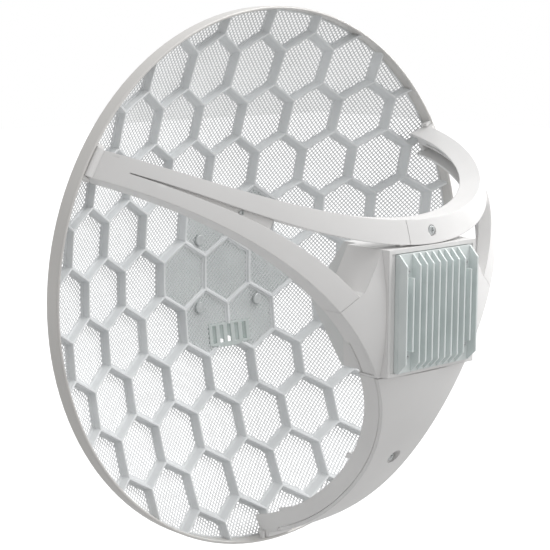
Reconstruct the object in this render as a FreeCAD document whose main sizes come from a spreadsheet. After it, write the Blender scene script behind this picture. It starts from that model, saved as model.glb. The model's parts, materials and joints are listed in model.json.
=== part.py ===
import FreeCAD, Part
import math
import os

from FreeCAD import Placement, Rotation, Vector

# Parabolic grid antenna with a built-in radio head on three arms.
# Every piece is drawn in the dish frame: +z runs from the dish to the head, +y is up, and the
# origin is the point where the ridge crests cross the dish axis. PLACE turns that frame into the
# part's own frame, where +Z is up, the dish looks along -Y and the mast's axis is the Z axis.

SIZES = {
    # reflector
    "mast_gap": 50.0,
    "four_focal": 684.0,
    "ridge_depth": 6.5,
    "sheet_thick": 1.0,
    "hub_depth": 1.5,
    "cell_width": 43.54,
    "ridge_thick": 2.4,
    "dish_radius": 195.5,
    "rim_wall": 2.3,
    "rim_back": 45.9,
    "rim_lip": 57.5,
    # centre plate and its fixings
    "plate_back": 6.0,
    "plate_screw_x": 28.5,
    "plate_screw_y": 25.3,
    "screw_radius": 2.0,
    "screw_head_radius": 4.0,
    "screw_head_high": 1.8,
    "slit_wide": 3.6,
    "slit_high": 13.0,
    "slit_pitch": 7.4,
    "slit_low": -54.5,
    # arms
    "dome_radius": 200.0,
    "dome_high": 224.0,
    "dome_base": -15.0,
    "under_radius": 186.0,
    "under_high": 209.0,
    "skin": 2.4,
    "wall": 2.2,
    "side_arc": 305.7,
    "side_centre": 364.6,
    "gap_arc": 267.0,
    "gap_centre": 309.8,
    "neck_radius": 152.0,
    "neck_half": 1.3,
    "slot_radius": 179.5,
    "slot_half": 0.3,
    "tip_radius": 186.0,
    "tip_front": 60.2,
    "tip_round": 3.0,
    "clip_radius": 187.5,
    "clip_wide": 2.6,
    "arm_reach": 192.8,
    "toe_radius": 181.0,
    "web_radius": 119.0,
    "web_screw_radius": 134.5,
    "web_drop": 3.0,
    "crown_seam": 19.0,
    "seam_gap": 0.3,
    "strip_gap": 0.1,
    "cover_gap": 0.6,
    "inner_wall_deep": 9.7,
    "toe_thick": 2.9,
    # radio head
    "frame_half": 42.2,
    "frame_low": -41.5,
    "frame_top": 42.3,
    "frame_front": 205.5,
    "frame_back": 190.0,
    "bezel_lip": 2.8,
    "bezel_step": 1.0,
    "crown_x": 2.5,
    "crown_y": 51.0,
    "hinge_clear": 0.6,
    "pod_half": 36.0,
    "pod_taper": 2.5,
    "pod_keel": -3.0,
    "pod_ridge": 127.0,
    "pod_slope": 0.68,
    "pod_round": 5.0,
    "pod_split": 157.5,
    "box_wall": 2.2,
    "lip_gap": 0.1,
    "lip_thick": 1.6,
    "lip_long": 4.0,
    "panel_top": -18.5,
    "panel_low": -40.2,
    "panel_depth": 0.6,
    "panel_slot_rear": 1.2,
    "panel_slot_wide": 1.3,
    "sink_wide": 70.4,
    "sink_high": 78.0,
    "sink_back": 203.0,
    "sink_floor": 207.5,
    "sink_front": 214.5,
    "fin_count": 12.0,
    "fin_thick": 1.3,
    "fin_margin": 0.2,
    "short_fin_cut": 14.7,
    "sink_screw_x": 28.3,
    "sink_screw_y": 28.0,
    # electronics
    "board_wide": 62.0,
    "board_high": 72.0,
    "board_thick": 1.6,
    "board_front": 198.5,
    "pad_size": 24.0,
    "ground_plane": 60.0,
    "ground_rear": 172.0,
    "patch_size": 34.0,
    "patch_rear": 163.0,
    "jack_wide": 16.0,
    "jack_deep": 13.5,
    "jack_long": 21.0,
    "port_wide": 11.8,
    "port_deep": 8.0,
    "button_radius": 1.8,
    "button_length": 8.1,
    "button_cap_radius": 2.8,
    "button_cap_thick": 1.5,
    "button_travel": 1.0,
    # cable cover on the lower arm
    "cover_top": -42.0,
    "lower_arc": 235.5,
    "lower_knee": -120.0,
    "foot_half": 11.0,
    "cover_screw_y": -108.0,
    "cover_toe": -184.0,
    # tilt bracket and mast saddle
    "base_thick": 3.0,
    "base_half_wide": 34.0,
    "base_half_high": 31.0,
    "pivot_back": 17.5,
    "ear_radius": 6.5,
    "ear_in": 12.0,
    "ear_out": 15.0,
    "tongue_half": 11.7,
    "bolt_radius": 3.0,
    "bolt_clear": 0.06,
    "mast_radius": 19.0,
    "saddle_half_wide": 17.5,
    "saddle_half_high": 16.0,
    "saddle_front": 25.5,
    "saddle_tip": 10.0,
    "band_slot_front": 27.0,
    "band_slot_thick": 2.4,
    "band_slot_high": 14.0,
}

doc = FreeCAD.newDocument("grid_antenna")
sheet = doc.addObject("Spreadsheet::Sheet", "sizes")
for row, (alias, number) in enumerate(SIZES.items(), start=1):
    sheet.set(f"A{row}", alias)
    sheet.set(f"B{row}", str(number))
    sheet.setAlias(f"B{row}", alias)
doc.recompute()


def size(alias):
    """A driving dimension, read from the sheet."""
    return float(sheet.get(alias))


PLACE = Placement(Vector(0, -size("mast_gap"), 0), Rotation(Vector(1, 0, 0), 90))
REACH = 260.0
parts = []


def keep(thing, label, local=None):
    """Label one finished sub-part, put it in the part's frame and remember it for export."""
    thing.Label = label
    thing.Placement = PLACE.multiply(local) if local else PLACE
    parts.append(thing)
    return thing


def solid(label, shape, local=None):
    """A sub-part whose form is computed from the sheet."""
    feature = doc.addObject("Part::Feature", label)
    feature.Shape = shape.removeSplitter()
    return keep(feature, label, local)


def primitive(kind, name, local, **bound):
    """A Part primitive in the dish frame with its sizes bound to the sheet."""
    thing = doc.addObject(f"Part::{kind}", name)
    for prop, expression in bound.items():
        thing.setExpression(prop, expression)
    thing.Placement = local
    return thing


def combine(kind, name, base, tool):
    """A Part boolean of two objects."""
    thing = doc.addObject(f"Part::{kind}", name)
    thing.Base = base
    thing.Tool = tool
    return thing


def gather(name, members):
    """A Part fuse of several objects."""
    thing = doc.addObject("Part::MultiFuse", name)
    thing.Shapes = members
    return thing


def at(x, y, z, axis=Vector(0, 0, 1), turn=0.0):
    """A local placement in the dish frame."""
    return Placement(Vector(x, y, z), Rotation(axis, turn))


# ---- shapes shared by several sub-parts -------------------------------------------------------


def block(low, high):
    """A box between two corners."""
    span = Vector(*high) - Vector(*low)
    return Part.makeBox(span.x, span.y, span.z, Vector(*low))


def rod(radius, low, high, x=0.0, y=0.0):
    """A cylinder along the dish axis."""
    return Part.makeCylinder(radius, high - low, Vector(x, y, low))


def bowl(shift):
    """The solid in front of the crest paraboloid moved along the axis by shift."""
    focal = size("four_focal")
    reach = size("dish_radius") + 4.0
    parabola = Part.BezierCurve()
    rise = reach * reach / focal
    parabola.setPoles([Vector(0, 0, shift), Vector(reach / 2, 0, shift), Vector(reach, 0, shift + rise)])
    corners = [Vector(reach, 0, shift + rise), Vector(reach, 0, REACH), Vector(0, 0, REACH), Vector(0, 0, shift)]
    wire = Part.Wire([parabola.toShape()] + Part.makePolygon(corners).Edges)
    return Part.Face(wire).revolve(Vector(), Vector(0, 0, 1), 360)


def dome(drop=0.0, wide="dome_radius", tall="dome_high"):
    """The ellipsoid that carries the arms' outer skin, or another one, shrunk by drop."""
    radius = size(wide) - drop
    height = size(tall) - drop
    centre = Vector(0, 0, size("dome_base"))
    top = centre + Vector(0, 0, height)
    side = centre + Vector(radius, 0, 0)
    arc = Part.ArcOfEllipse(Part.Ellipse(top, side, centre), 0, math.pi / 2)
    wire = Part.Wire([arc.toShape(), Part.makeLine(side, centre), Part.makeLine(centre, top)])
    return Part.Face(wire).revolve(Vector(), Vector(0, 0, 1), 360)


def three_rods(radius, centre):
    """Three cylinders whose axes stand at a distance from the dish axis, above and to both sides."""
    rods = []
    for angle in (90, 210, 330):
        direction = Vector(math.cos(math.radians(angle)), math.sin(math.radians(angle)), 0)
        rods.append(Part.makeCylinder(radius, REACH + 60.0, direction * centre - Vector(0, 0, 60)))
    return rods


def arm_plan(inset=0.0, reach=None):
    """The arms' outline along the axis: a disc with three round bites, shrunk by inset."""
    disc = rod((reach or size("arm_reach")), -60.0, REACH)
    return disc.cut(three_rods(size("side_arc") + inset, size("side_centre")))


def prism(points, direction, inset=0.0):
    """A prism on a polygon, shrunk by inset."""
    face = Part.Face(Part.makePolygon(points + points[:1]))
    if inset:
        face = face.makeOffset2D(-inset, 2)
    return face.extrude(direction)


def polygon_prism(corners, inset=0.0):
    """A tall prism on a polygon of (x, y) corners, shrunk by inset."""
    return prism([Vector(x, y, -60.0) for x, y in corners], Vector(0, 0, REACH + 60.0), inset)


def gap_plan(grow=0.0):
    """The open middle of the arms' outline, grown by grow, with a narrow slot towards each tip."""
    neck = size("neck_radius")
    slot_end = size("slot_radius") + grow
    middle = rod(neck, -60.0, REACH).cut(three_rods(size("gap_arc") - grow, size("gap_centre")))
    wide = size("neck_half") + grow
    narrow = size("slot_half") + grow
    slots = []
    for angle in (30, 150, 270):
        slot = polygon_prism([(neck - 1.0, -wide), (slot_end, -narrow), (slot_end, narrow), (neck - 1.0, wide)])
        slot.rotate(Vector(), Vector(0, 0, 1), angle)
        slots.append(slot)
    return middle.fuse(slots)


def lower_plan(inset=0.0):
    """The lower arm's outline, which runs on from the side arcs and ends in the foot."""
    angle = math.radians(210)
    main = Vector(math.cos(angle), math.sin(angle), 0) * size("side_centre")
    big = size("side_arc")
    small = size("lower_arc")
    start_y = size("cover_top")
    start = Vector(main.x + math.sqrt(big**2 - (start_y - main.y) ** 2), start_y, 0)
    centre = start + (main - start) * (small / big)

    def on_arc(y):
        return Vector(centre.x + math.sqrt((small + inset) ** 2 - (y - centre.y) ** 2), y, 0)

    knee_y = size("lower_knee")
    foot = Vector(-size("foot_half") + inset, -size("arm_reach") - 4.0, 0)
    left = [
        Part.Arc(on_arc(start_y + 30.0), on_arc((start_y + knee_y) / 2), on_arc(knee_y)).toShape(),
        Part.makeLine(on_arc(knee_y), foot),
    ]
    right = [edge.mirror(Vector(), Vector(1, 0, 0)) for edge in left]
    top = Part.makeLine(on_arc(start_y + 30.0), mirrored(on_arc(start_y + 30.0)))
    bottom = Part.makeLine(foot, mirrored(foot))
    wire = Part.Wire(Part.__sortEdges__(left + right + [top, bottom]))
    plan = Part.Face(wire).extrude(Vector(0, 0, REACH + 60.0))
    plan.translate(Vector(0, 0, -60.0))
    below = block((-REACH, -REACH, -60.0), (REACH, start_y, REACH))
    return plan.common(below).common(rod(size("arm_reach"), -60.0, REACH))


def mirrored(point):
    """The point's mirror image across the plane x = 0."""
    return Vector(-point.x, point.y, point.z)


def hexagon(x, y, width, low, high):
    """A hexagonal prism with two flats facing sideways."""
    radius = width / math.sqrt(3)
    corners = []
    for k in range(7):
        angle = math.radians(30 + 60 * k)
        corners.append(Vector(x + radius * math.cos(angle), y + radius * math.sin(angle), low))
    return Part.Face(Part.makePolygon(corners)).extrude(Vector(0, 0, high - low))


def cell_centres(reach):
    """The centres of the honeycomb's cells out to a distance from the axis."""
    width = size("cell_width")
    pitch = width * math.sqrt(3) / 2
    rows = int(reach / pitch) + 1
    centres = []
    for j in range(-rows, rows + 1):
        for i in range(-rows - 1, rows + 2):
            x = width * (i + 0.5 * (j % 2))
            y = pitch * j
            if math.hypot(x, y) < reach:
                centres.append((x, y))
    return centres


def flower(inset=0.0):
    """The seven middle cells as one prism, shrunk by inset."""
    width = size("cell_width") + 0.02
    cells = [hexagon(x, y, width, -40.0, 60.0) for x, y in cell_centres(width * 1.2)]
    whole = cells[0].multiFuse(cells[1:]).removeSplitter()
    if not inset:
        return whole
    outline = max(whole.Faces, key=lambda face: face.CenterOfMass.z)
    shrunk = outline.makeOffset2D(-inset)
    return shrunk.extrude(Vector(0, 0, -100.0))


# ---- reflector --------------------------------------------------------------------------------


def slits():
    """The five upright slits through the sheet and the plate, under the middle cell."""
    tools = []
    for k in range(-2, 3):
        x = k * size("slit_pitch")
        low = (x - size("slit_wide") / 2, size("slit_low"), -40.0)
        high = (x + size("slit_wide") / 2, size("slit_low") + size("slit_high"), 40.0)
        tools.append(block(low, high))
    return tools


def plate_holes(radius):
    """The four screw holes through the sheet and the plate."""
    spots = [(i * size("plate_screw_x"), j * size("plate_screw_y")) for i in (-1, 1) for j in (-1, 1)]
    return [rod(radius, -40.0, 40.0, x, y) for x, y in spots]


def reflector_sheet():
    """The formed sheet: a bowl whose seven middle cells stand forward on a step."""
    depth = size("ridge_depth")
    thick = size("sheet_thick")
    hub = size("hub_depth")
    disc = rod(size("dish_radius") - size("rim_wall"), -40.0, REACH)
    middle = flower()
    outer = bowl(-depth - thick).cut(bowl(-depth)).common(disc).cut(middle)
    floor = bowl(-hub - thick).cut(bowl(-hub)).common(middle)
    step = bowl(-depth - thick).cut(bowl(-hub)).common(middle.cut(flower(thick)))
    return outer.fuse([floor, step]).cut(slits() + plate_holes(size("screw_radius")))


def ridges():
    """The honeycomb of upright ridges on the sheet, low across the seven middle cells."""
    inner = size("cell_width") - size("ridge_thick")
    disc = rod(size("dish_radius") - size("rim_wall"), -40.0, REACH)
    cells = [hexagon(x, y, inner, -60.0, REACH) for x, y in cell_centres(size("dish_radius") + 24.0)]
    middle = flower()
    tall = bowl(-size("ridge_depth")).cut(bowl(0.0)).common(disc).cut(middle)
    low = bowl(-size("hub_depth")).cut(bowl(0.0)).common(middle)
    return tall.cut(cells).fuse(low.cut(cells)).cut(slits())


def rim():
    """The upright rim round the sheet, with a rounded lip."""
    outer = size("dish_radius")
    inner = outer - size("rim_wall")
    round_off = size("rim_wall") / 2 - 0.05
    ring = rod(outer, size("rim_back"), size("rim_lip")).cut(rod(inner, 0.0, REACH))
    edges = [edge for edge in ring.Edges if abs(edge.BoundBox.ZMin - size("rim_lip")) < 1e-6 and edge.Closed]
    return ring.makeFillet(round_off, edges)


solid("reflector_mesh", reflector_sheet())
solid("honeycomb_ridges", ridges())
solid("rim_ring", rim())


def centre_plate():
    """The moulded plate behind the seven middle cells, flat at the back."""
    back = -size("plate_back")
    behind = bowl(-size("hub_depth") - size("sheet_thick"))
    plate = flower(size("sheet_thick")).common(block((-90, -90, back), (90, 90, 40))).cut(behind)
    return plate.cut(slits() + plate_holes(size("screw_radius")))


solid("centre_plate", centre_plate())


def plate_screws():
    """Four screws from the front of the sheet into the tilt bracket."""
    screws = []
    rise = (size("plate_screw_x") ** 2 + size("plate_screw_y") ** 2) / size("four_focal")
    seat = rise - size("hub_depth") + 0.5
    tip = -size("plate_back") - size("base_thick") + 0.4
    for i in (-1, 1):
        for j in (-1, 1):
            x = i * size("plate_screw_x")
            y = j * size("plate_screw_y")
            shank = rod(size("screw_radius") - 0.02, tip, seat, x, y)
            head = rod(size("screw_head_radius"), seat, seat + size("screw_head_high"), x, y)
            edges = [edge for edge in head.Edges if abs(edge.BoundBox.ZMin - head.BoundBox.ZMax) < 1e-6]
            screws.append(shank.fuse(head.makeFillet(0.7, edges)))
    return Part.makeCompound(screws)


solid("plate_screws", plate_screws())


# ---- arms -------------------------------------------------------------------------------------


def skin_zone(drop=0.0):
    """The arms' outer skin all round, moved inwards by drop."""
    return dome(drop).cut(dome(drop + size("skin")))


def wall_zone(drop=0.0):
    """From the skin back to the walls' rear edge, and down to the ridges at the toes."""
    under = dome(0.0, "under_radius", "under_high")
    under = under.common(rod(size("toe_radius"), -60.0, REACH))
    return dome(drop).common(bowl(0.1)).cut(under)


def toe_zone():
    """The ring near the rim where an arm stands on the ridges."""
    return rod(size("arm_reach"), -60.0, REACH).cut(rod(size("toe_radius"), -60.0, REACH))


def toe_floor():
    """The thin foot under a toe, lying on the ridge crests."""
    return bowl(0.1).cut(bowl(0.1 + size("toe_thick"))).common(toe_zone())


def tip_block():
    """The blunt end of an arm against the rim, with a rounded front edge."""
    ring = rod(size("arm_reach"), 0.0, size("tip_front"))
    edges = [edge for edge in ring.Edges if edge.BoundBox.ZMin > size("tip_front") - 1e-6]
    ring = ring.makeFillet(size("tip_round"), edges)
    return ring.cut(rod(size("tip_radius"), -60.0, REACH))


def end_wall():
    """The closing wall at the rim end of an arm."""
    reach = size("arm_reach")
    return wall_zone().common(rod(reach, -60.0, REACH).cut(rod(reach - size("wall"), -60.0, REACH)))


STRIP_NORMAL = Vector(math.cos(math.radians(36.4)), math.sin(math.radians(36.4)), 0)
STRIP_SPLIT = Vector(-64.3, 11.0, 0)


def split_line(gap):
    """The inner and outer ends of the cut across the left side strip, moved up by gap."""
    along = Vector(-STRIP_NORMAL.y, STRIP_NORMAL.x, 0) * gap
    inner = STRIP_SPLIT + STRIP_NORMAL * 8.6 + along
    outer = STRIP_SPLIT - STRIP_NORMAL * 40.0 + along
    return (inner.x, inner.y), (outer.x, outer.y)


def left_half(seam):
    """The plan of the left arm, which ends at the crown seam and at the side strip's cut."""
    inner, outer = split_line(size("strip_gap") / 2)
    corners = [(seam, 220.0), (seam, 30.0), (-45.0, 30.0), inner, outer, (-220.0, outer[1]), (-220.0, 220.0)]
    return polygon_prism(corners)


def upper_arms():
    """The skin, walls and webs of the two upper arms, still in one piece."""
    plan = arm_plan()
    gap = gap_plan()
    strips = plan.cut(gap)
    outer_wall = wall_zone().common(plan.cut(arm_plan(size("wall"))))
    inner_zone = dome().cut(dome(size("inner_wall_deep"))).common(plan)
    inner_wall = inner_zone.common(gap_plan(size("wall")).cut(gap))
    outside = rod(size("arm_reach"), -60.0, REACH).cut(rod(size("web_radius"), -60.0, REACH))
    web = skin_zone(size("web_drop")).common(gap_plan(1.0)).common(outside)
    floor = toe_floor().common(plan)
    tips = tip_block().common(plan)
    pieces = [skin_zone().common(strips), outer_wall, inner_wall, web, floor, end_wall().common(plan), tips]
    return pieces[0].fuse(pieces[1:]).common(bowl(0.1))


def main_solid(shape):
    """The largest solid of a shape."""
    return max(shape.Solids, key=lambda piece: piece.Volume)


def screw(head_radius, head_high, shank_radius, tip, seat, x, y):
    """A pan-head screw along the dish axis with a cross recess."""
    head = rod(head_radius, seat, seat + head_high, x, y)
    rim_edges = [edge for edge in head.Edges if edge.BoundBox.ZMin > seat + head_high - 1e-6]
    head = head.makeFillet(head_high * 0.45, rim_edges)
    arm = head_radius * 0.6
    top = seat + head_high
    for wide, tall in ((arm, 0.35), (0.35, arm)):
        head = head.cut(block((x - wide, y - tall, top - 0.9), (x + wide, y + tall, top + 1.0)))
    return head.fuse(rod(shank_radius, tip, seat, x, y))


def arm_screws():
    """Two small screws in the webs of the upper arms."""
    reach = size("web_screw_radius")
    spot = Vector(math.cos(math.radians(150)), math.sin(math.radians(150)), 0) * reach
    height = size("dome_base") + size("dome_high") * math.sqrt(1 - (reach / size("dome_radius")) ** 2)
    seat = height - size("web_drop") - 0.9
    left = screw(1.5, 1.2, 0.9, seat - 5.0, seat, spot.x, spot.y)
    return [left, left.mirror(Vector(), Vector(1, 0, 0))]


WEB_SCREWS = arm_screws()
crown_x = size("crown_x")
crown_y = size("crown_y")
tongue_front = 197.3
ARMS = upper_arms()
tongue_half = 4.5
tongue = block((-26.0, crown_y - tongue_half, 195.4), (8.0, crown_y + tongue_half, tongue_front))
tongue = tongue.common(dome(size("skin") + 0.3))
root = block((-26.0, crown_y - 8.2, 195.4), (-20.0, crown_y + 7.0, tongue_front + 2.5)).common(dome(1.0))
tongue = tongue.fuse(root).cut(rod(1.7, 0.0, REACH, crown_x, crown_y))
left_arm = ARMS.common(left_half(-size("crown_seam") - size("seam_gap"))).fuse(tongue)
right_half = left_half(size("crown_seam")).mirror(Vector(), Vector(1, 0, 0))
right_arm = ARMS.common(right_half)
crown_pocket = rod(3.6, 199.6, REACH, crown_x, crown_y).fuse(rod(1.7, 0.0, REACH, crown_x, crown_y))
right_arm = right_arm.cut(crown_pocket)
solid("left_arm", main_solid(left_arm.cut(WEB_SCREWS)))
solid("right_arm", main_solid(right_arm.cut(WEB_SCREWS)))


def toe_hinge():
    """The cover's hinge axis in its toe, and the direction up along the skin there."""
    y = size("cover_toe")
    rise = size("dome_high") * math.sqrt(1 - (y / size("dome_radius")) ** 2)
    normal = Vector(0, y / size("dome_radius") ** 2, rise / size("dome_high") ** 2).normalize()
    pivot = Vector(0, y, size("dome_base") + rise) - normal * (size("skin") / 2)
    return pivot, Vector(0, normal.z, -normal.y)


def toe_rod(radius):
    """A cylinder on the cover's hinge axis."""
    return Part.makeCylinder(radius, 80.0, toe_hinge()[0] - Vector(40, 0, 0), Vector(1, 0, 0))


def toe_side(sign, gap=0.0):
    """The half space above or below the cover's toe edge, which stands square to the skin."""
    pivot, along = toe_hinge()
    box = Part.makeBox(120.0, 400.0, 400.0, Vector(-60.0, 0.0, -200.0))
    turn = Rotation(Vector(0, 1, 0), along * sign)
    box.Placement = Placement(pivot + along * (sign * gap), turn)
    return box


def lower_arm():
    """The open channel between the radio head and the foot, with the cover screw's boss."""
    plan = lower_plan()
    seat = size("skin") + 0.3
    walls = wall_zone(seat).common(plan.cut(lower_plan(size("wall"))))
    floor = toe_floor().common(plan)
    foot_end = toe_side(-1)
    cap = skin_zone().common(plan).common(foot_end)
    cap_wall = wall_zone().common(plan.cut(lower_plan(size("wall")))).common(foot_end)
    screw_y = size("cover_screw_y")
    rib = block((-40.0, screw_y - 2.0, 0.0), (40.0, screw_y + 2.0, REACH)).common(plan)
    rib = rib.common(dome(seat)).cut(dome(18.0)).cut(block((-6.9, -120.0, 166.6), (6.9, -100.0, REACH)))
    boss = rod(3.6, 157.0, 166.6, 0.0, screw_y)
    way_out = block((-1.8, screw_y - 10.0, 150.0), (1.8, screw_y, 170.0))
    tip = tip_block().common(plan)
    hinge_room = toe_rod(size("skin") / 2 + size("hinge_clear"))
    whole = walls.fuse([floor, cap, cap_wall, end_wall().common(plan), tip, rib, boss])
    return whole.cut([rod(1.7, 150.0, 170.0, 0.0, screw_y), way_out, hinge_room]).common(bowl(0.1))


solid("lower_arm", main_solid(lower_arm()))


def cable_cover():
    """The front skin of the lower arm, with a recessed cup for its screw."""
    screw_y = size("cover_screw_y")
    plan = lower_plan().common(block((-90.0, -220.0, 0.0), (90.0, size("cover_top") - size("cover_gap"), REACH)))
    skin = skin_zone().common(plan).common(toe_side(1))
    skin = skin.fuse(toe_rod(size("skin") / 2).common(dome()).common(plan))
    cup = rod(6.4, 167.0, 176.0, 0.0, screw_y).common(dome())
    hollow = rod(5.0, 168.6, REACH, 0.0, screw_y).fuse(rod(1.7, 0.0, REACH, 0.0, screw_y))
    return skin.fuse(cup).cut(hollow)


solid("cable_cover", main_solid(cable_cover()))


solid("cover_screw", screw(3.2, 2.2, 1.5, 158.5, 168.6, 0.0, size("cover_screw_y")))
solid("crown_screw", screw(3.2, 2.0, 1.5, 187.0, 199.6, crown_x, crown_y))


solid("arm_screws", Part.makeCompound(WEB_SCREWS))


# ---- radio head -------------------------------------------------------------------------------


def cheek_corners():
    """The plan corners of the head between the side strips' cuts and the cover's top edge."""
    inner, outer = split_line(-size("strip_gap") / 2)
    half = size("frame_half")
    top = size("frame_top")
    low = size("cover_top")
    left = [(-half, top), inner, outer, (-180.0, outer[1]), (-180.0, low)]
    right = [(-x, y) for x, y in reversed(left)]
    return left + right


def pod(inset=0.0):
    """The head's rear pod, shrunk by inset: one ridge runs across its back and one along each side."""
    half = size("pod_half")
    narrow = half - size("pod_taper")
    low = size("cover_top")
    top = size("frame_top")
    front = size("frame_back") + 10.0
    ridge = size("pod_ridge")
    slope = size("pod_slope")
    back = [(low, front), (low, ridge - slope * low), (0.0, ridge), (top, ridge + slope * top), (top, front)]
    gable = prism([Vector(-60.0, y, z) for y, z in back], Vector(120.0, 0, 0), inset)
    right = [(narrow, low), (half, size("pod_keel")), (narrow, top)]
    sides = polygon_prism(right + [(-x, y) for x, y in reversed(right)], inset)
    return gable.common(sides).common(rod(REACH, 0.0, size("frame_back")))


def side_panels():
    """The shallow panels sunk into the head's side walls, and the slots along their rear edges."""
    zone = block((-90.0, size("panel_low"), 0.0), (90.0, size("panel_top"), REACH))
    rear = size("panel_slot_rear")
    sunk = dome(size("skin")).common(arm_plan().cut(arm_plan(size("panel_depth"))))
    slot = dome(-rear - size("panel_slot_wide"), "under_radius", "under_high")
    slot = slot.cut(dome(-rear, "under_radius", "under_high")).common(arm_plan().cut(arm_plan(size("wall") + 1.0)))
    return [sunk.common(zone), slot.common(zone)]


def head_housing():
    """The moulded head: a front frame, two cheeks in line with the side strips and a rear pod."""
    half = size("frame_half")
    low = size("frame_low")
    top = size("frame_top")
    front = size("frame_front")
    mid = size("frame_back")
    wall = size("box_wall")
    split = size("pod_split")
    cover_top = size("cover_top")
    cheeks = arm_plan().common(polygon_prism(cheek_corners()))
    hollow = arm_plan(size("wall")).common(polygon_prism(cheek_corners(), size("wall")))
    skin = skin_zone().common(cheeks)
    side_zone = wall_zone().fuse(block((-90.0, 10.0, 168.0), (90.0, top, 200.0)).common(dome()))
    sides = side_zone.common(cheeks.cut(hollow))
    frame = block((-half, low, mid), (half, top, front))
    behind_split = rod(REACH, 0.0, split)
    box = pod().cut(behind_split)
    pocket = pod(wall)
    ledge = block((-31.6, -36.8, mid - 1.0), (31.6, 36.8, front + 1.0))
    half_wide = size("sink_wide") / 2 + 0.2
    half_high = size("sink_high") / 2 + 0.2
    seat = block((-half_wide, -half_high, size("sink_back")), (half_wide, half_high, front + 5.0))
    above = block((-half, low, front), (half, top, front + 9.0))
    lip = size("bezel_lip")
    step = block((lip - half, low + lip, front - size("bezel_step")), (half - lip, top - lip, front))
    skin = skin.cut(block((-half, low, 0.0), (half, top, REACH)))
    whole = frame.fuse([box, skin, sides.cut(block((-half + 2, low, mid), (half - 2, top, REACH)))])
    whole = whole.cut([pocket, ledge, seat, above, step] + side_panels())
    bosses = []
    holes = []
    for i in (-1, 1):
        for j in (-1, 1):
            x = i * size("sink_screw_x")
            y = j * size("sink_screw_y")
            bosses.append(rod(4.8, mid, size("sink_back"), x, y))
            holes.append(rod(1.5, mid + 2.0, front, x, y))
    crown_boss = block((-6.0, top - 1.0, 184.0), (8.0, crown_y + 5.0, 193.0))
    crown_boss = crown_boss.fuse(block((-6.0, crown_y - 5.5, 192.5), (8.0, crown_y + 5.0, 195.2)))
    whole = whole.fuse(bosses + [crown_boss]).cut(holes)
    port = block((-8.2, cover_top - 1.0, 183.1), (8.2, cover_top + 6.0, 197.2))
    button_hole = Part.makeCylinder(1.95, 8.0, Vector(16.0, cover_top - 1.0, 191.0), Vector(0, 1, 0))
    light_hole = Part.makeCylinder(1.45, 8.0, Vector(-16.0, cover_top - 1.0, 191.0), Vector(0, 1, 0))
    crown_hole = rod(1.6, 186.0, 196.0, crown_x, crown_y)
    return whole.cut([port, button_hole, light_hole, crown_hole])


solid("head_housing", main_solid(head_housing()))


def heatsink():
    """The finned aluminium plate: full fins with bevelled ends and two short ones by the screws."""
    half_wide = size("sink_wide") / 2
    half_high = size("sink_high") / 2
    floor = size("sink_floor")
    front = size("sink_front")
    slab = block((-half_wide, -half_high, size("sink_back")), (half_wide, half_high, floor))
    count = int(size("fin_count"))
    thick = size("fin_thick")
    margin = size("fin_margin")
    pitch = (2 * half_wide - thick - 2 * margin) / (count - 1)
    fins = []
    for k in range(count):
        x = -half_wide + margin + k * pitch
        cut = size("short_fin_cut") if k in (1, count - 2) else 0.0
        rise = front - floor
        low = -half_high + cut
        high = half_high - cut
        slope = 0.0 if cut else rise
        corners = [Vector(x, low, floor - 0.5), Vector(x, high, floor - 0.5), Vector(x, high, floor)]
        corners += [Vector(x, high - slope, front), Vector(x, low + slope, front), Vector(x, low, floor)]
        fins.append(Part.Face(Part.makePolygon(corners + corners[:1])).extrude(Vector(thick, 0, 0)))
    holes = [rod(1.7, 0.0, REACH, x, y) for x, y in sink_spots()]
    return slab.fuse(fins).cut(holes)


def sink_spots():
    """The four screw positions of the heatsink."""
    return [(i * size("sink_screw_x"), j * size("sink_screw_y")) for i in (-1, 1) for j in (-1, 1)]


solid("heatsink", heatsink())
sink_screws = [screw(2.6, 1.8, 1.5, 194.0, size("sink_floor"), x, y) for x, y in sink_spots()]
solid("heatsink_screws", Part.makeCompound(sink_screws))


def bound_box(label, corner, wide, high, deep, cuts=()):
    """A plate whose three sides are bound to the sheet, with round holes cut from it."""
    plate = primitive("Box", label + "_blank", corner, Length=wide, Width=high, Height=deep)
    for index, (radius, place) in enumerate(cuts):
        hole = primitive("Cylinder", f"{label}_hole_{index}", place, Radius=radius, Height="40 mm")
        plate = combine("Cut", f"{label}_cut_{index}", plate, hole)
    return keep(plate, label, None if cuts else corner)


board_back = size("board_front") - size("board_thick")
notches = [("5.2 mm", at(x, y, 180.0)) for x, y in sink_spots()]
bound_box(
    "circuit_board",
    at(-size("board_wide") / 2, -size("board_high") / 2, board_back),
    "sizes.board_wide",
    "sizes.board_high",
    "sizes.board_thick",
    notches,
)
chip_front = size("board_front") + 1.2
chip = block((-8.0, -8.0, size("board_front")), (8.0, 8.0, chip_front))
solid("radio_chip", chip)
half_pad = size("pad_size") / 2
solid("thermal_pad", block((-half_pad, -half_pad, chip_front), (half_pad, half_pad, size("sink_back"))))
can = block((-20.0, 4.0, board_back - 4.0), (20.0, 22.0, board_back))
solid("shield_can", can.cut(block((-19.4, 4.6, board_back - 3.4), (19.4, 21.4, board_back + 1.0))))

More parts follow.
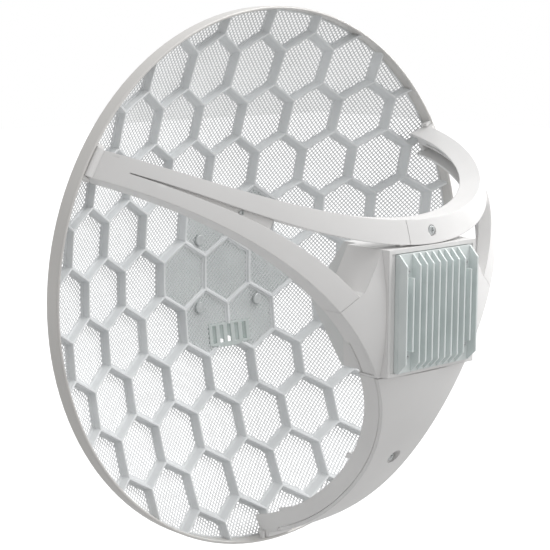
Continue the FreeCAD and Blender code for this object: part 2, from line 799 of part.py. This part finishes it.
ground_front = size("ground_rear") + 1.0
post_x = 24.0
post_y = 17.0
pin_x = 9.0
pin_holes = [("1.6 mm", at(x, 0.0, 150.0)) for x in (-pin_x, pin_x)]
bound_box(
    "feed_ground_plane",
    at(-size("ground_plane") / 2, -size("ground_plane") / 2, size("ground_rear")),
    "sizes.ground_plane",
    "sizes.ground_plane",
    "1 mm",
    pin_holes,
)
patch_front = size("patch_rear") + 0.8
bound_box(
    "feed_patch",
    at(-size("patch_size") / 2, -size("patch_size") / 2, size("patch_rear")),
    "sizes.patch_size",
    "sizes.patch_size",
    "0.8 mm",
)
corners = [(i, j) for i in (-1, 1) for j in (-1, 1)]
posts = [rod(1.8, patch_front, size("ground_rear"), i * 13.0, j * 13.0) for i, j in corners]
solid("patch_posts", Part.makeCompound(posts))
standoffs = [rod(2.4, ground_front, board_back, i * post_x, j * post_y) for i, j in corners]
solid("feed_standoffs", Part.makeCompound(standoffs))
pins = [rod(0.7, patch_front, board_back, x, 0.0) for x in (-pin_x, pin_x)]
solid("feed_pins", Part.makeCompound(pins))


def feed_cover():
    """The ridged cap over the rear of the pod, with a lip that fits inside the pod's wall."""
    split = size("pod_split")
    wall = size("box_wall")
    outside = wall + size("lip_gap")
    inside = outside + size("lip_thick")
    cap = pod().common(rod(REACH, 0.0, split))
    ridge = [edge for edge in cap.Edges if edge.BoundBox.ZMax < size("pod_ridge") + 0.1]
    cap = cap.makeFillet(size("pod_round"), ridge)
    lip = pod(outside).common(rod(REACH, split, split + size("lip_long")))
    return cap.fuse(lip).cut([pod(wall).common(rod(REACH, 0.0, split - 3.5)), pod(inside)])


solid("feed_cover", feed_cover())


def housing_seal():
    """The rubber frame behind the heatsink's edge, cut away at the screw bosses."""
    back = size("sink_back") - 1.2
    outer = block((-31.2, -36.4, back), (31.2, 36.4, size("sink_back")))
    inner = block((-29.4, -34.6, back), (29.4, 34.6, size("sink_back")))
    return outer.cut([inner] + [rod(5.0, back, size("sink_back"), x, y) for x, y in sink_spots()])


seal = housing_seal()
solid("housing_seal", Part.makeCompound(seal.Solids))


def ethernet_jack():
    """The network socket, which opens downwards through the head's floor."""
    half = size("jack_wide") / 2
    low = size("cover_top") + 0.2
    back = board_back - size("jack_deep")
    body = block((-half, low, back), (half, low + size("jack_long"), board_back))
    port_half = size("port_wide") / 2
    port_low = back + 2.2
    port = block((-port_half, low - 1.0, port_low), (port_half, low + 14.0, port_low + size("port_deep")))
    tab = block((-3.0, low - 1.0, port_low - 1.4), (3.0, low + 8.0, port_low))
    return body.cut([port, tab])


solid("ethernet_jack", ethernet_jack())

UPWARDS = Vector(-1, 0, 0)
side_x = 16.0
side_z = 191.0
stem = primitive(
    "Cylinder",
    "button_stem",
    at(side_x, -43.6, side_z, UPWARDS, 90),
    Radius="sizes.button_radius",
    Height="sizes.button_length",
)
cap = primitive(
    "Cylinder",
    "button_cap",
    at(side_x, -45.1, side_z, UPWARDS, 90),
    Radius="sizes.button_cap_radius",
    Height="sizes.button_cap_thick",
)
keep(gather("button", [stem, cap]), "reset_button")
solid("reset_switch", block((13.0, -34.4, 189.0), (19.0, -30.0, board_back)))
guide = Part.makeCylinder(1.4, 8.2, Vector(-side_x, -42.2, side_z), Vector(0, 1, 0))
guide_foot = block((-side_x - 1.2, -36.0, side_z), (-side_x + 1.2, -34.0, board_back))
solid("light_guide", guide.fuse(guide_foot))


def rim_clips():
    """Six small clips that hold the arms' ends to the rim, one on each side of an end."""
    outer = size("dish_radius") - size("rim_wall") - 0.1
    ring = rod(outer, 0.0, size("rim_lip") - 0.6).cut(rod(size("clip_radius"), 0.0, REACH)).common(bowl(0.1))
    clips = []
    for angle, start in ((30, 10.5), (150, 10.5), (270, 12.4)):
        for sign in (-1, 1):
            low = min(sign * start, sign * (start + size("clip_wide")))
            strip = block((150.0, low, 0.0), (REACH, low + size("clip_wide"), 90.0))
            strip.rotate(Vector(), Vector(0, 0, 1), angle)
            clips.append(ring.common(strip))
    return Part.makeCompound(clips)


solid("rim_clips", rim_clips())

# ---- tilt bracket and mast saddle -------------------------------------------------------------


def cross_rod(radius, low, high):
    """A cylinder along x on the tilt axis."""
    return Part.makeCylinder(radius, high - low, Vector(low, 0, -size("pivot_back")), Vector(1, 0, 0))


def tilt_bracket():
    """The bracket behind the centre plate, with two ears on the tilt axis."""
    front = -size("plate_back")
    back = front - size("base_thick")
    wide = size("base_half_wide")
    high = size("base_half_high")
    base = block((-wide, -high, back), (wide, high, front))
    corners = [edge for edge in base.Edges if edge.BoundBox.ZLength > 1.0]
    base = base.makeFillet(6.0, corners)
    radius = size("ear_radius")
    ears = []
    for low, top in ((-size("ear_out"), -size("ear_in")), (size("ear_in"), size("ear_out"))):
        ears.append(block((low, -radius, -size("pivot_back")), (top, radius, back)))
        ears.append(cross_rod(radius, low, top))
        gusset = [Vector(low, -22.0, back), Vector(low, 22.0, back), Vector(low, radius - 2.0, back - 6.0)]
        gusset += [Vector(low, 2.0 - radius, back - 6.0)]
        ears.append(Part.Face(Part.makePolygon(gusset + gusset[:1])).extrude(Vector(top - low, 0, 0)))
    bolt_hole = cross_rod(size("bolt_radius") + size("bolt_clear"), -20.0, 20.0)
    return base.fuse(ears).cut(plate_holes(size("screw_radius")) + [bolt_hole])


def pole_saddle():
    """The saddle that a hose clamp pulls onto the mast, with a tongue between the bracket's ears."""
    half = size("saddle_half_wide")
    high = size("saddle_half_high")
    tongue_half = size("tongue_half")
    radius = size("ear_radius")
    body = block((-half, -high, -size("mast_gap") + size("saddle_tip")), (half, high, -size("saddle_front")))
    edges = [edge for edge in body.Edges if edge.BoundBox.ZLength > 1.0]
    body = body.makeFillet(1.0, edges)
    tongue = block((-tongue_half, -radius, -size("saddle_front")), (tongue_half, radius, -size("pivot_back")))
    mast = Part.makeCylinder(size("mast_radius"), 80.0, Vector(0, -40.0, -size("mast_gap")), Vector(0, 1, 0))
    slot_back = -size("band_slot_front") - size("band_slot_thick")
    slot_half = size("band_slot_high") / 2
    slot = block((-30.0, -slot_half, slot_back), (30.0, slot_half, -size("band_slot_front")))
    whole = body.fuse([tongue, cross_rod(radius, -tongue_half, tongue_half)])
    return whole.cut([mast, slot, cross_rod(size("bolt_radius") + 0.02, -20.0, 20.0)])


solid("tilt_bracket", tilt_bracket())
solid("pole_saddle", pole_saddle())


def washer(low):
    """A washer on the tilt bolt."""
    return cross_rod(6.2, low, low + 1.0).cut(cross_rod(size("bolt_radius") + 0.1, -30.0, 30.0))


washer_gap = size("ear_out") + 0.1
solid("tilt_washers", Part.makeCompound([washer(-washer_gap - 1.0), washer(washer_gap)]))


def tilt_bolt():
    """The hexagon-headed bolt on the tilt axis."""
    head_front = -washer_gap - 1.0
    head = hexagon(0.0, 0.0, 10.0, 0.0, 4.0)
    head.Placement = Placement(Vector(head_front - 4.0, 0, -size("pivot_back")), Rotation(Vector(0, 1, 0), 90))
    return cross_rod(size("bolt_radius"), head_front, 25.0).fuse(head)


def tilt_nut():
    """The flanged nut that locks the tilt."""
    low = washer_gap + 1.0
    nut = hexagon(0.0, 0.0, 10.0, 0.0, 6.0)
    nut.Placement = Placement(Vector(low, 0, -size("pivot_back")), Rotation(Vector(0, 1, 0), 90))
    return nut.fuse(cross_rod(6.4, low, low + 1.2)).cut(cross_rod(size("bolt_radius") + 0.02, 0.0, 40.0))


solid("tilt_bolt", tilt_bolt())
solid("tilt_nut", tilt_nut())

# ---- checks and export ------------------------------------------------------------------------

doc.recompute()
for thing in doc.Objects:
    if "Invalid" in thing.State or "Error" in thing.State:
        raise RuntimeError(f"{thing.Label} did not recompute")
os.makedirs("parts", exist_ok=True)
for part in parts:
    if part.Shape.isNull() or not part.Shape.isValid():
        raise RuntimeError(f"{part.Label} has no valid shape")
for part in parts:
    part.Shape.exportStep(f"parts/{part.Label}.step")
    print(part.Label, len(part.Shape.Solids), round(part.Shape.Volume))
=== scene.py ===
"""The looks of a parabolic grid antenna: formed mesh, arms, radio head, mount, camera and light."""

import json
import math

import bmesh
import bpy
from mathutils import Matrix, Vector


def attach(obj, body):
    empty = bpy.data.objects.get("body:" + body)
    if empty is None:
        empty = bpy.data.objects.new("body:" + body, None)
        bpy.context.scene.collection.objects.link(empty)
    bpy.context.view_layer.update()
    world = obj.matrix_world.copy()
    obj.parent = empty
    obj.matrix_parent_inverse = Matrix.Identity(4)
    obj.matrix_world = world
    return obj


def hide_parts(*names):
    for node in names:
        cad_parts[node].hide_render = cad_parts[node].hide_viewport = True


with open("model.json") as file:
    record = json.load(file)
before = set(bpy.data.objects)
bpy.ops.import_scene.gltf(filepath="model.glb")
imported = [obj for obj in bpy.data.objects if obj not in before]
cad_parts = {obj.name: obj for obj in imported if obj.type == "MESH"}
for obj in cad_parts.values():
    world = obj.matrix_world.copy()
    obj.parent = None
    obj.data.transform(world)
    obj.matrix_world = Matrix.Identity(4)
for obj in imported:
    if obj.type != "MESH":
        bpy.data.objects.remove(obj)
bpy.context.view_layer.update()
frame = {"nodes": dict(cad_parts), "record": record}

MM = 0.001
FOUR_FOCAL = 684.0
RIDGE_DEPTH = 6.5
HUB_DEPTH = 1.5
CELL = 43.54
ROW = CELL * math.sqrt(3) / 2
MIDDLE_REACH = CELL * 1.2
SHEET_RADIUS = 193.1
MAST_GAP = 50.0


def crest(x, y):
    """Height of the ridge crests along the dish's axis, in mm."""
    return (x * x + y * y) / FOUR_FOCAL


def to_row(x, y, z):
    """A point of the dish, in mm, in the row frame, in metres."""
    return (x * MM, -(MAST_GAP + z) * MM, y * MM)


def cell_centres(reach):
    """The honeycomb's cell centres within a distance of the axis."""
    rows = int(reach / ROW) + 1
    centres = []
    for j in range(-rows, rows + 1):
        for i in range(-rows - 1, rows + 2):
            x = CELL * (i + 0.5 * (j % 2))
            y = ROW * j
            if math.hypot(x, y) < reach:
                centres.append((x, y))
    return centres


def is_middle(x, y):
    """True for the seven middle cells."""
    return math.hypot(x, y) < MIDDLE_REACH


def make_object(name, vertices, faces, body, look):
    """A mesh object that rides on a body."""
    mesh = bpy.data.meshes.new(name)
    mesh.from_pydata(vertices, [], faces)
    mesh.update()
    obj = bpy.data.objects.new(name, mesh)
    bpy.context.scene.collection.objects.link(obj)
    mesh.materials.append(look)
    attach(obj, body)
    return obj


# ---- materials --------------------------------------------------------------------------------


CLOUD_LOW, CLOUD_HIGH = 0.3, 0.7
ROUGH_SPREAD = 0.06
RELIEF_HEIGHT = 0.0002


def linear(code):
    """Linear colour of a six-digit sRGB code."""
    values = []
    for k in (0, 2, 4):
        c = int(code[k : k + 2], 16) / 255
        values.append(c / 12.92 if c <= 0.04045 else ((c + 0.055) / 1.055) ** 2.4)
    return (*values, 1.0)


def material(name, low, high, rough, metallic=0.0, scale=40.0, grain=900.0, bump=0.05, edge=0.0):
    """A procedural material: cloudy colour, uneven roughness, fine grain and softened edges."""
    mat = bpy.data.materials.new(name)
    mat.use_nodes = True
    nodes = mat.node_tree.nodes
    links = mat.node_tree.links
    shader = nodes["Principled BSDF"]
    shader.inputs["Metallic"].default_value = metallic
    coords = nodes.new("ShaderNodeTexCoord")
    cloud = nodes.new("ShaderNodeTexNoise")
    cloud.inputs["Scale"].default_value = scale
    cloud.inputs["Detail"].default_value = 4.0
    links.new(coords.outputs["Object"], cloud.inputs["Vector"])
    ramp = nodes.new("ShaderNodeValToRGB")
    ramp.color_ramp.elements[0].position = CLOUD_LOW
    ramp.color_ramp.elements[1].position = CLOUD_HIGH
    ramp.color_ramp.elements[0].color = linear(low)
    ramp.color_ramp.elements[1].color = linear(high)
    links.new(cloud.outputs["Fac"], ramp.inputs["Fac"])
    links.new(ramp.outputs["Color"], shader.inputs["Base Color"])
    spread = nodes.new("ShaderNodeMapRange")
    spread.inputs["To Min"].default_value = rough - ROUGH_SPREAD
    spread.inputs["To Max"].default_value = rough + ROUGH_SPREAD
    links.new(cloud.outputs["Fac"], spread.inputs["Value"])
    links.new(spread.outputs["Result"], shader.inputs["Roughness"])
    fine = nodes.new("ShaderNodeTexNoise")
    fine.inputs["Scale"].default_value = grain
    fine.inputs["Detail"].default_value = 2.0
    links.new(coords.outputs["Object"], fine.inputs["Vector"])
    relief = nodes.new("ShaderNodeBump")
    relief.inputs["Strength"].default_value = bump
    relief.inputs["Distance"].default_value = RELIEF_HEIGHT
    links.new(fine.outputs["Fac"], relief.inputs["Height"])
    if edge:
        bevel = nodes.new("ShaderNodeBevel")
        bevel.samples = 4
        bevel.inputs["Radius"].default_value = edge
        links.new(bevel.outputs["Normal"], relief.inputs["Normal"])
    links.new(relief.outputs["Normal"], shader.inputs["Normal"])
    return mat


MATS = {
    "grid": material("grid_coat", "DCDEDF", "E7E9EA", 0.5, scale=30, grain=2500, bump=0.12),
    "rim": material("rim_satin", "D2D0CD", "DAD8D5", 0.38, metallic=0.2, scale=9, bump=0.03, edge=0.0005),
    "plate": material("plate_moulded", "DFE6E4", "E8EEEC", 0.55, scale=25, bump=0.15),
    "arm_plastic": material("arm_moulded", "E4E3E2", "EAE9E8", 0.42, scale=18, bump=0.06, edge=0.0009),
    "feed_plastic": material("feed_moulded", "DEDFDE", "E4E5E4", 0.46, scale=25, bump=0.1, edge=0.0006),
    "heatsink": material("heatsink_cast", "DCE3E2", "E4EAE9", 0.45, scale=60, bump=0.1, edge=0.0003),
    "steel": material("zinc_steel", "C4C8C8", "D6D9D9", 0.34, metallic=0.35, scale=400, edge=0.0002),
    "bracket": material("bracket_moulded", "A5ABAB", "B3B8B8", 0.5, scale=30, bump=0.15, edge=0.0006),
    "saddle": material("saddle_moulded", "9EA5A5", "ADB3B3", 0.52, scale=30, bump=0.15, edge=0.0006),
    "seal": material("seal_rubber", "1B1B1D", "262628", 0.75, scale=80, bump=0.2),
    "board": material("board_resin", "17452C", "1F5637", 0.4, scale=120, bump=0.1),
    "board_plastic": material("post_nylon", "CFCEC4", "DAD9D0", 0.55, scale=120, bump=0.1),
    "chip": material("chip_resin", "151517", "232325", 0.5, scale=200, bump=0.15),
    "pad": material("pad_silicone", "6F869C", "7F95AA", 0.7, scale=150, bump=0.15),
    "tin": material("tinned_sheet", "B4B5B0", "C6C7C2", 0.3, metallic=0.85, scale=90),
    "pin_metal": material("pin_brass", "B8923F", "CDA956", 0.3, metallic=0.9, scale=200, bump=0.03),
    "jack": material("jack_moulded", "17181A", "222326", 0.45, scale=90, bump=0.1),
    "clear": material("guide_clear", "CDD3D3", "DCE1E1", 0.15, scale=90, bump=0.02),
}

for row in frame["record"]["subparts"]:
    node = frame["nodes"][row["node"]]
    node.data.materials.clear()
    node.data.materials.append(MATS[row["material_slot"]])

# ---- the formed reflector sheet -----------------------------------------------------------------

OUTER_PROFILE = [(0.0, 0.0), (0.42, 0.0), (0.75, -0.35), (1.8, -5.8), (2.4, -6.5), (3.4, -6.5)]
MIDDLE_PROFILE = [(0.0, 0.0), (0.55, 0.0), (0.85, -0.3), (1.3, -1.3), (1.7, -1.5), (2.3, -1.5)]
SHEET_GAUGE = 0.6
EDGE_SAMPLES = 8
EDGE_MARGIN = 1.0
CROSSING_MARGIN = 0.001
RIDGE_REACH = 24.0
ON_OUTLINE = 1e-6
WELD_DISTANCE = 2e-6
FLAT_EDGE = 1e-6


def hexagon_corners(x, y, inset):
    """The six corners of a cell whose flats are moved in by inset."""
    radius = (CELL - 2 * inset) / math.sqrt(3)
    return [
        (x + radius * math.cos(math.radians(30 + 60 * k)), y + radius * math.sin(math.radians(30 + 60 * k)))
        for k in range(6)
    ]


def crossing(a, b):
    """Where the edge from a to b crosses the sheet's round outline, as shares of its length."""
    dx, dy = b[0] - a[0], b[1] - a[1]
    p = dx * dx + dy * dy
    q = 2 * (a[0] * dx + a[1] * dy)
    r = a[0] * a[0] + a[1] * a[1] - SHEET_RADIUS**2
    d = q * q - 4 * p * r
    if d <= 0:
        return []
    roots = [(-q - math.sqrt(d)) / (2 * p), (-q + math.sqrt(d)) / (2 * p)]
    return [t for t in roots if CROSSING_MARGIN < t < 1 - CROSSING_MARGIN]


def cell_rings(x, y, profile):
    """Matching rings of points round a cell, one for each step of its profile."""
    base = hexagon_corners(x, y, 0.0)
    shares = []
    for k in range(6):
        steps = [s / EDGE_SAMPLES for s in range(EDGE_SAMPLES)]
        shares.append(sorted(steps + crossing(base[k], base[(k + 1) % 6])))
    rings = []
    for index, (inset, drop) in enumerate(profile):
        limit = SHEET_RADIUS - (EDGE_MARGIN if index == len(profile) - 1 else 0.0)
        corners = hexagon_corners(x, y, inset)
        ring = []
        for k in range(6):
            a, b = corners[k], corners[(k + 1) % 6]
            for t in shares[k]:
                px = a[0] + (b[0] - a[0]) * t
                py = a[1] + (b[1] - a[1]) * t
                length = math.hypot(px, py)
                outside = length > limit - ON_OUTLINE
                if outside:
                    px, py = px * limit / length, py * limit / length
                ring.append((px, py, crest(px, py) + drop, outside))
        rings.append(ring)
    return rings


SLIT_PITCH = 7.4
SLIT_HALF = 1.8
SLIT_LOW, SLIT_TOP = -54.5, -41.5
BRIDGE_HALF = 20.0
BRIDGE_TOP = -39.8
BRIDGE_BOTTOM = -58.0
BRIDGE_CURVE = 0.006
BRIDGE_FRONT = 1.05
BRIDGE_BACK = 2.6
BRIDGE_LIP = 0.3
RIDGE_OVERLAP = 0.4
WIRE_OVERLAP = 0.5


def bridge_low(x):
    """The round lower edge of the solid bridge that carries the five slits."""
    return BRIDGE_BOTTOM + BRIDGE_CURVE * x * x


def on_bridge(x, y, margin=0.0):
    """True on the slits' bridge, apart from a margin along its edges."""
    return abs(x) < BRIDGE_HALF - margin and bridge_low(x) + margin < y < BRIDGE_TOP - margin


def honeycomb():
    """The honeycomb of formed ridges, each cell's walls and the solid margin round its holes."""
    vertices, faces = [], []
    for x, y in cell_centres(SHEET_RADIUS + RIDGE_REACH):
        profile = MIDDLE_PROFILE if is_middle(x, y) else OUTER_PROFILE
        rings = cell_rings(x, y, profile)
        if all(point[3] for point in rings[0]):
            continue
        count = len(rings[0])
        start = len(vertices)
        for ring in rings:
            vertices += [to_row(*point[:3]) for point in ring]
        for level in range(len(rings) - 1):
            for k in range(count):
                n = (k + 1) % count
                spots = [(level, k), (level, n), (level + 1, n), (level + 1, k)]
                at_rim = all(rings[a][b][3] for a, b in spots)
                if at_rim and level < len(rings) - 2:
                    continue
                middle_x = sum(rings[a][b][0] for a, b in spots) / 4
                middle_y = sum(rings[a][b][1] for a, b in spots) / 4
                if on_bridge(middle_x, middle_y, RIDGE_OVERLAP):
                    continue
                faces.append([start + a * count + b for a, b in spots])
    obj = make_object("formed_honeycomb", vertices, faces, "antenna", MATS["grid"])
    work = bmesh.new()
    work.from_mesh(obj.data)
    bmesh.ops.remove_doubles(work, verts=work.verts, dist=WELD_DISTANCE)
    bmesh.ops.dissolve_degenerate(work, dist=FLAT_EDGE, edges=work.edges)
    bmesh.ops.recalc_face_normals(work, faces=work.faces)
    if sum(face.normal.y * face.calc_area() for face in work.faces) > 0:
        bmesh.ops.reverse_faces(work, faces=work.faces)
    work.to_mesh(obj.data)
    work.free()
    thick = obj.modifiers.new("gauge", "SOLIDIFY")
    thick.thickness = SHEET_GAUGE * MM
    thick.offset = -1.0
    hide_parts("honeycomb_ridges")


honeycomb()


def slit_bridge():
    """The solid bridge round the five slits, with a wall down to the sheet at its round edge."""
    across = [-BRIDGE_HALF]
    for k in range(-2, 3):
        across += [k * SLIT_PITCH - SLIT_HALF, k * SLIT_PITCH + SLIT_HALF]
    across.append(BRIDGE_HALF)
    count = len(across)
    heights = 4
    vertices, faces = [], []
    for low_side in (False, True):
        for x in across:
            for y in (bridge_low(x), SLIT_LOW, SLIT_TOP, BRIDGE_TOP):
                drop = BRIDGE_BACK if low_side else BRIDGE_FRONT
                vertices.append(to_row(x, y, crest(x, y) - drop))

    def spot(i, j, low_side):
        return (count * heights if low_side else 0) + i * heights + j

    def filled(i, j):
        inside = 0 <= i < count - 1 and 0 <= j < heights - 1
        return inside and not (j == 1 and i % 2 == 1)

    for i in range(count - 1):
        for j in range(heights - 1):
            if not filled(i, j):
                continue
            ring = [(i, j), (i + 1, j), (i + 1, j + 1), (i, j + 1)]
            faces.append([spot(a, b, False) for a, b in ring])
            faces.append([spot(a, b, True) for a, b in reversed(ring)])
            beside = [(i, j - 1), (i + 1, j), (i, j + 1), (i - 1, j)]
            for k, other in enumerate(beside):
                if not filled(*other):
                    a, b = ring[k], ring[(k + 1) % 4]
                    faces.append([spot(*b, False), spot(*a, False), spot(*a, True), spot(*b, True)])
    # The bridge is the plate's plastic in a darker copy of its colour: painted shade.
    look = material("bridge_painted_shade", "BCC4C2", "C6CDCB", 0.55, scale=25, bump=0.15)
    obj = make_object("slit_bridge", vertices, faces, "antenna", look)
    lip = obj.modifiers.new("lip", "BEVEL")
    lip.width = BRIDGE_LIP * MM
    lip.segments = 2


slit_bridge()

WIRE_PITCH = 2.42
WIRE_WIDE = 0.66
WIRE_THICK = 0.42
WIRE_REACH = 20.0
WIRE_MARGIN = 0.6
SHORTEST_WIRE = 0.8
BEND_LENGTH = 11.0
WIRES_EACH_SIDE = 10
CROSSING_DROP = 0.03
OUTER_INSET = 3.1
MIDDLE_INSET = 2.1
FAR = 400.0
PARALLEL = 1e-9


def wire_span(x, y, inset, normal, along, offset):
    """The stretch of a wire's line that lies inside a cell and inside the sheet's outline."""
    low, high = -FAR, FAR
    origin = (normal[0] * offset, normal[1] * offset)
    reach = CELL / 2 - inset
    for k in range(6):
        angle = math.radians(60 * k)
        nx, ny = math.cos(angle), math.sin(angle)
        rate = along[0] * nx + along[1] * ny
        room = reach - ((origin[0] - x) * nx + (origin[1] - y) * ny)
        if abs(rate) < PARALLEL:
            if room < 0:
                return None
        elif rate > 0:
            high = min(high, room / rate)
        else:
            low = max(low, room / rate)
    limit = SHEET_RADIUS - WIRE_MARGIN
    half = math.sqrt(max(limit**2 - offset**2, 0.0))
    low, high = max(low, -half), min(high, half)
    return (low, high) if high - low > SHORTEST_WIRE else None


def clear_spans(span, normal, along, offset):
    """The stretches of a wire that stay clear of the slits' bridge."""
    step = 0.5
    count = int((span[1] - span[0]) / step)
    spans, start = [], None
    for s in range(count + 1):
        t = span[0] + s * step
        px = normal[0] * offset + along[0] * t
        py = normal[1] * offset + along[1] * t
        blocked = on_bridge(px, py, WIRE_OVERLAP)
        if blocked and start is not None:
            spans.append((start, t))
            start = None
        elif not blocked and start is None:
            start = t
    if start is not None:
        spans.append((start, span[1]))
    return [(a, b) for a, b in spans if b - a > SHORTEST_WIRE]


def add_wire(vertices, faces, span, normal, along, offset, lift):
    """One closed strip along a stretch of a wire's line, bent to the bowl."""
    steps = max(1, round((span[1] - span[0]) / BEND_LENGTH))
    first = len(vertices)
    for s in range(steps + 1):
        t = span[0] + (span[1] - span[0]) * s / steps
        for side in (-0.5, 0.5):
            off = offset + side * WIRE_WIDE
            px = normal[0] * off + along[0] * t
            py = normal[1] * off + along[1] * t
            top = crest(px, py) + lift
            vertices.append(to_row(px, py, top))
            vertices.append(to_row(px, py, top - WIRE_THICK))
    for s in range(steps):
        a = first + 4 * s
        b = a + 4
        faces += [[a, b, b + 2, a + 2], [a + 1, a + 3, b + 3, b + 1]]
        faces += [[a, a + 1, b + 1, b], [a + 2, b + 2, b + 3, a + 3]]
    last = first + 4 * steps
    faces += [[first, first + 2, first + 3, first + 1], [last, last + 1, last + 3, last + 2]]


def wire_grid(name, middle, depth, inset):
    """The crossing strips that the sheet's square holes leave, in the outer or the middle cells."""
    vertices, faces = [], []
    diagonal = math.sqrt(0.5)
    lifts = {1: 0.0, -1: -CROSSING_DROP}
    for x, y in cell_centres(SHEET_RADIUS + WIRE_REACH):
        if is_middle(x, y) != middle:
            continue
        for sign, lift in lifts.items():
            along = (diagonal, sign * diagonal)
            normal = (-sign * diagonal, diagonal)
            middle_line = int((x * normal[0] + y * normal[1]) / WIRE_PITCH)
            for k in range(middle_line - WIRES_EACH_SIDE, middle_line + WIRES_EACH_SIDE + 1):
                span = wire_span(x, y, inset, normal, along, k * WIRE_PITCH)
                if span is None:
                    continue
                for stretch in clear_spans(span, normal, along, k * WIRE_PITCH):
                    add_wire(vertices, faces, stretch, normal, along, k * WIRE_PITCH, lift - depth)
    return make_object(name, vertices, faces, "antenna", MATS["grid"])


outer_grid = wire_grid("punched_grid_outer", False, RIDGE_DEPTH, OUTER_INSET)
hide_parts("reflector_mesh")
wire_grid("punched_grid_middle", True, HUB_DEPTH, MIDDLE_INSET)

# ---- stage, light and camera --------------------------------------------------------------------

LIGHT_TARGET = Vector((0.0, -0.15, 0.0))
FLOOR_HALF = 7.0
FLOOR_LEVEL = -0.55
FLOOR_GREY = 0.45
BEHIND = (0.68, 0.73, 0.0)
GLOW_START, GLOW_END = 0.3, 1.2
GLOW_STRENGTH = 0.8
SKY_SLANT = (0.55, -0.05, 0.83)
SKY_LOW, SKY_HIGH = 0.1, 1.15
CAMERA_PLACE = (-0.7881, -0.9534, 0.1993)
CAMERA_FORWARD = (0.6700, 0.7232, -0.1673)
CAMERA_RIGHT = (0.7342, -0.6789, 0.0056)
SENSOR_WIDTH = 36.0
FOCAL_LENGTH = 105.9
CLIP_START = 0.05


def area_light(name, place, size, power):
    """A soft square light aimed at the middle of the antenna."""
    data = bpy.data.lights.new(name, "AREA")
    data.size = size
    data.energy = power
    obj = bpy.data.objects.new(name, data)
    obj.location = place
    obj.rotation_euler = (LIGHT_TARGET - Vector(place)).to_track_quat("-Z", "Y").to_euler()
    bpy.context.scene.collection.objects.link(obj)


def stage_floor():
    """A pale floor well below the antenna, which its mast mount holds up, with a painted glow at the back.
    """
    sides = [(-1, -1), (1, -1), (1, 1), (-1, 1)]
    corners = [(a * FLOOR_HALF, b * FLOOR_HALF, FLOOR_LEVEL) for a, b in sides]
    mesh = bpy.data.meshes.new("stage_floor")
    mesh.from_pydata(corners, [], [(0, 1, 2, 3)])
    floor = bpy.data.objects.new("stage_floor", mesh)
    bpy.context.scene.collection.objects.link(floor)
    mat = bpy.data.materials.new("floor_pale")
    mat.use_nodes = True
    nodes = mat.node_tree.nodes
    links = mat.node_tree.links
    shader = nodes["Principled BSDF"]
    shader.inputs["Base Color"].default_value = (FLOOR_GREY, FLOOR_GREY, FLOOR_GREY, 1.0)
    shader.inputs["Roughness"].default_value = 0.9
    shader.inputs["Emission Color"].default_value = (1.0, 1.0, 1.0, 1.0)
    coords = nodes.new("ShaderNodeTexCoord")
    # The emission is a painted glow, strongest behind the antenna, not a lamp.
    behind = nodes.new("ShaderNodeVectorMath")
    behind.operation = "DOT_PRODUCT"
    behind.inputs[1].default_value = BEHIND
    glow = nodes.new("ShaderNodeMapRange")
    glow.interpolation_type = "SMOOTHSTEP"
    glow.inputs["From Min"].default_value = GLOW_START
    glow.inputs["From Max"].default_value = GLOW_END
    glow.inputs["To Min"].default_value = 0.0
    glow.inputs["To Max"].default_value = GLOW_STRENGTH
    links.new(coords.outputs["Object"], behind.inputs[0])
    links.new(behind.outputs["Value"], glow.inputs["Value"])
    links.new(glow.outputs["Result"], shader.inputs["Emission Strength"])
    mesh.materials.append(mat)


def studio_world():
    """Soft light from all round, stronger from above and from the right, with a white backdrop."""
    world = bpy.data.worlds.new("studio")
    world.use_nodes = True
    nodes = world.node_tree.nodes
    links = world.node_tree.links
    coords = nodes.new("ShaderNodeTexCoord")
    slant = nodes.new("ShaderNodeVectorMath")
    slant.operation = "DOT_PRODUCT"
    slant.inputs[1].default_value = SKY_SLANT
    dome = nodes.new("ShaderNodeMapRange")
    dome.inputs["From Min"].default_value = -1.0
    dome.inputs["To Min"].default_value = SKY_LOW
    dome.inputs["To Max"].default_value = SKY_HIGH
    path = nodes.new("ShaderNodeLightPath")
    power = nodes.new("ShaderNodeMapRange")
    power.inputs["To Max"].default_value = 1.0
    links.new(coords.outputs["Generated"], slant.inputs[0])
    links.new(slant.outputs["Value"], dome.inputs["Value"])
    links.new(dome.outputs["Result"], power.inputs["To Min"])
    links.new(path.outputs["Is Camera Ray"], power.inputs["Value"])
    nodes["Background"].inputs["Color"].default_value = (1.0, 1.0, 1.0, 1.0)
    links.new(power.outputs["Result"], nodes["Background"].inputs["Strength"])
    bpy.context.scene.world = world


stage_floor()
studio_world()
area_light("key", (1.1, -1.1, 1.9), 0.8, 20.0)
area_light("rim_light", (1.9, -0.2, 0.9), 0.9, 16.0)

bpy.context.scene.view_settings.view_transform = "Standard"

camera_data = bpy.data.cameras.new("camera")
camera_data.sensor_width = SENSOR_WIDTH
camera_data.lens = FOCAL_LENGTH
camera_data.clip_start = CLIP_START
camera = bpy.data.objects.new("camera", camera_data)
bpy.context.scene.collection.objects.link(camera)
forward = Vector(CAMERA_FORWARD).normalized()
right = Vector(CAMERA_RIGHT).normalized()
up = right.cross(forward).normalized()
turn = Matrix((right, up, -forward)).transposed().to_4x4()
camera.matrix_world = Matrix.Translation(CAMERA_PLACE) @ turn
bpy.context.scene.camera = camera
